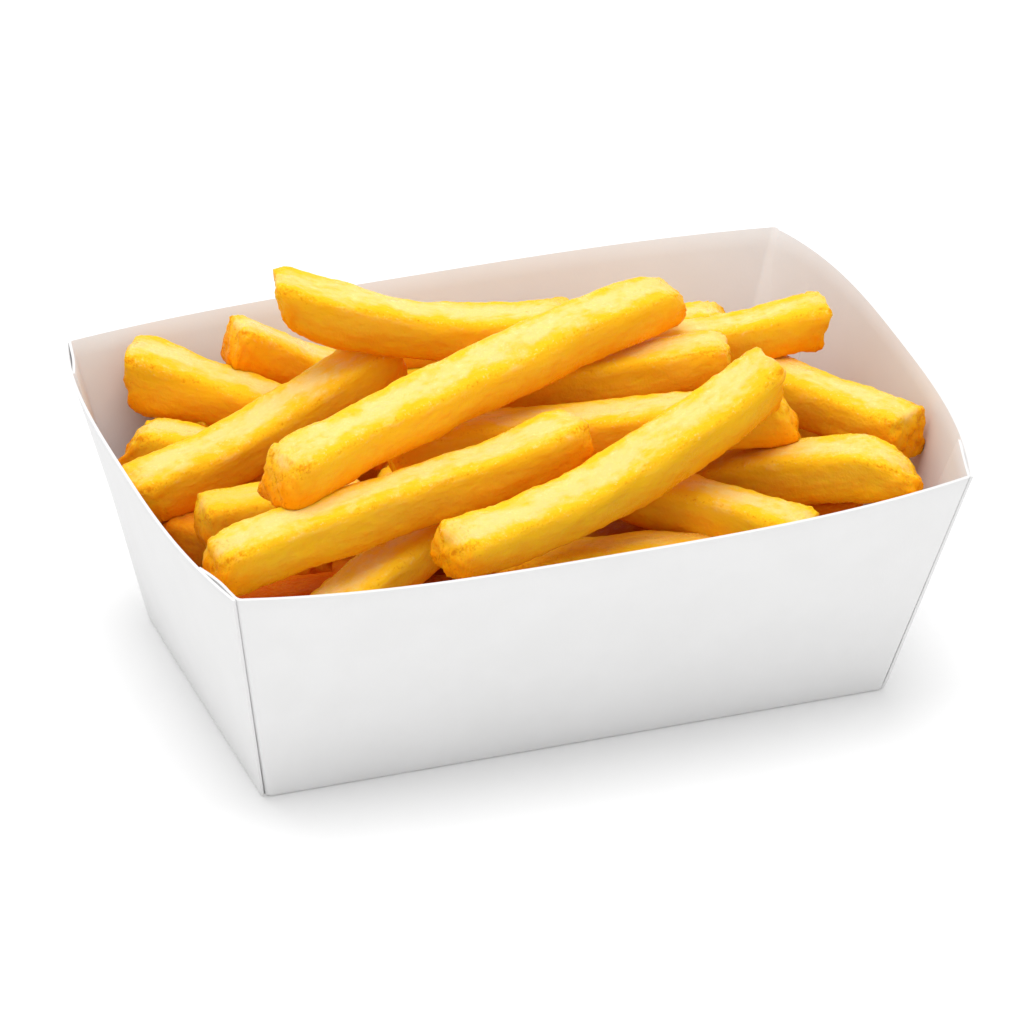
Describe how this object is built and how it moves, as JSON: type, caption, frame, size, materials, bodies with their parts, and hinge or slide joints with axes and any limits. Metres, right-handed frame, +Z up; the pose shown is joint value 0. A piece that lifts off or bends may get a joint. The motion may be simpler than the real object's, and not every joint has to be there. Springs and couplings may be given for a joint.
{
  "type": "french fries in a carton",
  "caption": "Open rectangular takeaway tray of folded white board with sloping, slightly bowed walls, heaped with thick-cut golden french fries.",
  "frame": {"origin": "middle of the carton's underside, on the surface that it stands on", "axes": "+X along the carton's longer side, +Y across it, +Z up; the high ends of the longest fries lean over from the -Y side"},
  "size_m": [0.172, 0.1284, 0.0836],
  "materials": {
    "board": "smooth uncoated white board, matt",
    "fried_potato": "golden fried potato with a light sheen of oil"
  },
  "bodies": {
    "root": {"carton": "board", "fries": "fried_potato"}
  },
  "joints": []
}
